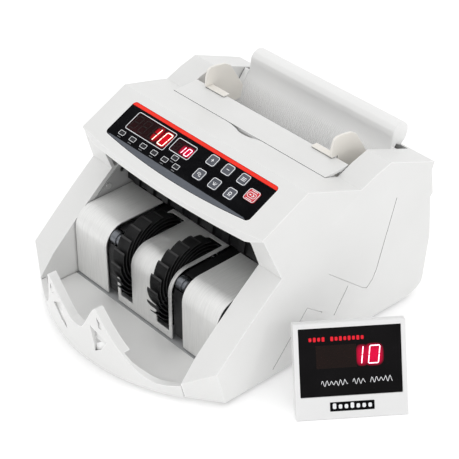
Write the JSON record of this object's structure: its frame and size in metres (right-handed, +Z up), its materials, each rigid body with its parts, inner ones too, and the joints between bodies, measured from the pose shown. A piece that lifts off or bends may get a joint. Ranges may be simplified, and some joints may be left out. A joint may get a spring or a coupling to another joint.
{
  "type": "banknote counter with counterfeit detection",
  "caption": "Desktop banknote counter with ultraviolet and magnetic counterfeit detection, top hopper, front note tray, keypad and a small remote count display on a fold-out stand.",
  "frame": {"origin": "on the table, under the centre of the box around the counter and its remote display", "axes": "+Z up, -Y towards the operator (note tray side), +X to the operator's right"},
  "size_m": [0.3564, 0.31, 0.172],
  "materials": {
    "abs_white": "fine moulded texture, satin",
    "abs_cream": "moulded, satin",
    "abs_black": "moulded",
    "panel_black": "printed film, glossy",
    "window_red": "tinted acrylic",
    "key_grey": "printed film over dome",
    "key_red": "printed film over dome",
    "lens_clear": "smoked lens",
    "pcb": "solder mask",
    "stainless": "brushed along the bend",
    "frame_grey": "zinc-grey paint",
    "steel": "ground",
    "chassis": "zinc plated",
    "rubber_black": "matte",
    "rubber_blue": "matte",
    "bronze": "sintered",
    "motor_case": "black oxide",
    "transformer": "lacquered laminations",
    "lamp": "frosted tube",
    "display_white": "moulded"
  },
  "bodies": {
    "root": {"upper_cover": "abs_white", "note_tray": "abs_white", "base_plate": "chassis", "rubber_feet": "rubber_black", "fixing_screws": "steel", "side_frames": "frame_grey", "cross_rods": "steel", "shaft_bearings": "bronze", "delivery_plates": "stainless", "lower_guide_frame": "abs_black", "upper_guide_frame": "abs_black", "hopper_backrest": "abs_white", "control_panel": "panel_black", "readout_windows": "window_red", "indicator_lenses": "lens_clear", "panel_board": "pcb", "drive_motor": "motor_case", "drive_belts": "rubber_black", "uv_lamp": "lamp", "magnetic_head": "abs_black", "count_sensors": "abs_black", "retard_bracket": "frame_grey", "main_board": "pcb", "transformer": "transformer", "power_inlet": "abs_black", "display_bezel": "display_white", "display_back": "display_white", "display_window": "panel_black", "display_board": "pcb", "display_cable": "rubber_black"},
    "access_lid": {"access_lid": "abs_white"},
    "note_guide_left": {"note_guide_left": "abs_cream"},
    "note_guide_right": {"note_guide_right": "abs_cream"},
    "pickup_roller": {"pickup_shaft": "steel", "pickup_rollers": "rubber_blue", "pickup_pulley": "abs_black"},
    "feed_roller": {"feed_shaft": "steel", "feed_rollers": "rubber_blue", "feed_pulleys": "abs_black"},
    "retard_roller": {"retard_rollers": "rubber_blue"},
    "delivery_roller": {"delivery_shaft": "steel", "delivery_rollers": "rubber_blue", "delivery_pulleys": "abs_black"},
    "delivery_idler": {"delivery_idlers": "abs_black"},
    "stacker": {"stacker_shaft": "steel", "stacker_wheels": "rubber_black", "stacker_pulley": "abs_black"},
    "bend_roller": {"bend_rollers": "abs_black"},
    "motor_rotor": {"motor_pulley": "steel", "encoder_disc": "abs_black"},
    "gap_screw": {"gap_screw": "abs_black"},
    "power_switch": {"power_switch": "abs_black"},
    "display_stand": {"display_stand": "display_white"},
    "key_plus": {"key_plus": "key_grey"},
    "key_minus": {"key_minus": "key_grey"},
    "key_batch": {"key_batch": "key_grey"},
    "key_add": {"key_add": "key_grey"},
    "key_uv": {"key_uv": "key_grey"},
    "key_mg": {"key_mg": "key_grey"},
    "key_reset": {"key_reset": "key_red"}
  },
  "joints": [
    {"name": "access_lid_hinge", "type": "hinge", "parent": "root", "child": "access_lid", "pos_m": [-0.05319, 0.05948, 0.1472], "axis": [-1, 0, 0], "range_deg": [0, 55]},
    {"name": "guide_left_slide", "type": "slide", "parent": "root", "child": "note_guide_left", "axis": [-1, 0, 0], "range_m": [-0.025, 0.013]},
    {"name": "guide_right_slide", "type": "slide", "parent": "root", "child": "note_guide_right", "axis": [1, 0, 0], "range_m": [-0.025, 0.013]},
    {"name": "feed_spin", "type": "hinge", "parent": "root", "child": "feed_roller", "pos_m": [-0.05319, 0.05998, 0.076], "axis": [1, 0, 0], "continuous": true},
    {"name": "pickup_spin", "type": "hinge", "parent": "root", "child": "pickup_roller", "pos_m": [-0.05319, 0.09798, 0.086], "axis": [1, 0, 0], "continuous": true},
    {"name": "delivery_spin", "type": "hinge", "parent": "root", "child": "delivery_roller", "pos_m": [-0.05319, 0.01198, 0.058], "axis": [1, 0, 0], "continuous": true},
    {"name": "stacker_spin", "type": "hinge", "parent": "root", "child": "stacker", "pos_m": [-0.05319, -0.05002, 0.05], "axis": [1, 0, 0], "continuous": true},
    {"name": "motor_spin", "type": "hinge", "parent": "root", "child": "motor_rotor", "pos_m": [-0.05319, 0.08998, 0.038], "axis": [1, 0, 0], "continuous": true},
    {"name": "retard_spin", "type": "hinge", "parent": "root", "child": "retard_roller", "pos_m": [-0.05319, 0.05598, 0.1057], "axis": [1, 0, 0], "continuous": true},
    {"name": "idler_spin", "type": "hinge", "parent": "root", "child": "delivery_idler", "pos_m": [-0.05319, 0.01098, 0.0806], "axis": [1, 0, 0], "continuous": true},
    {"name": "bend_roller_spin", "type": "hinge", "parent": "root", "child": "bend_roller", "pos_m": [-0.05319, -0.06952, 0.0665], "axis": [1, 0, 0], "continuous": true},
    {"name": "gap_screw_turn", "type": "hinge", "parent": "root", "child": "gap_screw", "pos_m": [-0.05319, 0.05598, 0.123], "axis": [0, 0, 1], "range_deg": [-180, 180]},
    {"name": "power_switch_rock", "type": "hinge", "parent": "root", "child": "power_switch", "pos_m": [-0.10169, 0.13298, 0.03925], "axis": [1, 0, 0], "range_deg": [0, 8]},
    {"name": "key_plus_press", "type": "slide", "parent": "root", "child": "key_plus", "axis": [0, 0.4431, -0.8965], "range_m": [0, 0.0006]},
    {"name": "key_minus_press", "type": "slide", "parent": "root", "child": "key_minus", "axis": [0, 0.4431, -0.8965], "range_m": [0, 0.0006]},
    {"name": "key_batch_press", "type": "slide", "parent": "root", "child": "key_batch", "axis": [0, 0.4431, -0.8965], "range_m": [0, 0.0006]},
    {"name": "key_add_press", "type": "slide", "parent": "root", "child": "key_add", "axis": [0, 0.4431, -0.8965], "range_m": [0, 0.0006]},
    {"name": "key_uv_press", "type": "slide", "parent": "root", "child": "key_uv", "axis": [0, 0.4431, -0.8965], "range_m": [0, 0.0006]},
    {"name": "key_mg_press", "type": "slide", "parent": "root", "child": "key_mg", "axis": [0, 0.4431, -0.8965], "range_m": [0, 0.0006]},
    {"name": "key_reset_press", "type": "slide", "parent": "root", "child": "key_reset", "axis": [0, 0.4431, -0.8965], "range_m": [0, 0.0006]},
    {"name": "display_stand_fold", "type": "hinge", "parent": "root", "child": "display_stand", "pos_m": [0.12174, -0.00644, 0.0315], "axis": [0.5878, 0.809, 0], "range_deg": [-48, 0]}
  ],
  "couplings": [
    {"joint": "motor_spin", "follows": "feed_spin", "ratio": 1.625},
    {"joint": "pickup_spin", "follows": "feed_spin", "ratio": 0.91304},
    {"joint": "delivery_spin", "follows": "feed_spin", "ratio": 1.5294},
    {"joint": "stacker_spin", "follows": "feed_spin", "ratio": 0.65},
    {"joint": "idler_spin", "follows": "feed_spin", "ratio": -3.8975}
  ]
}
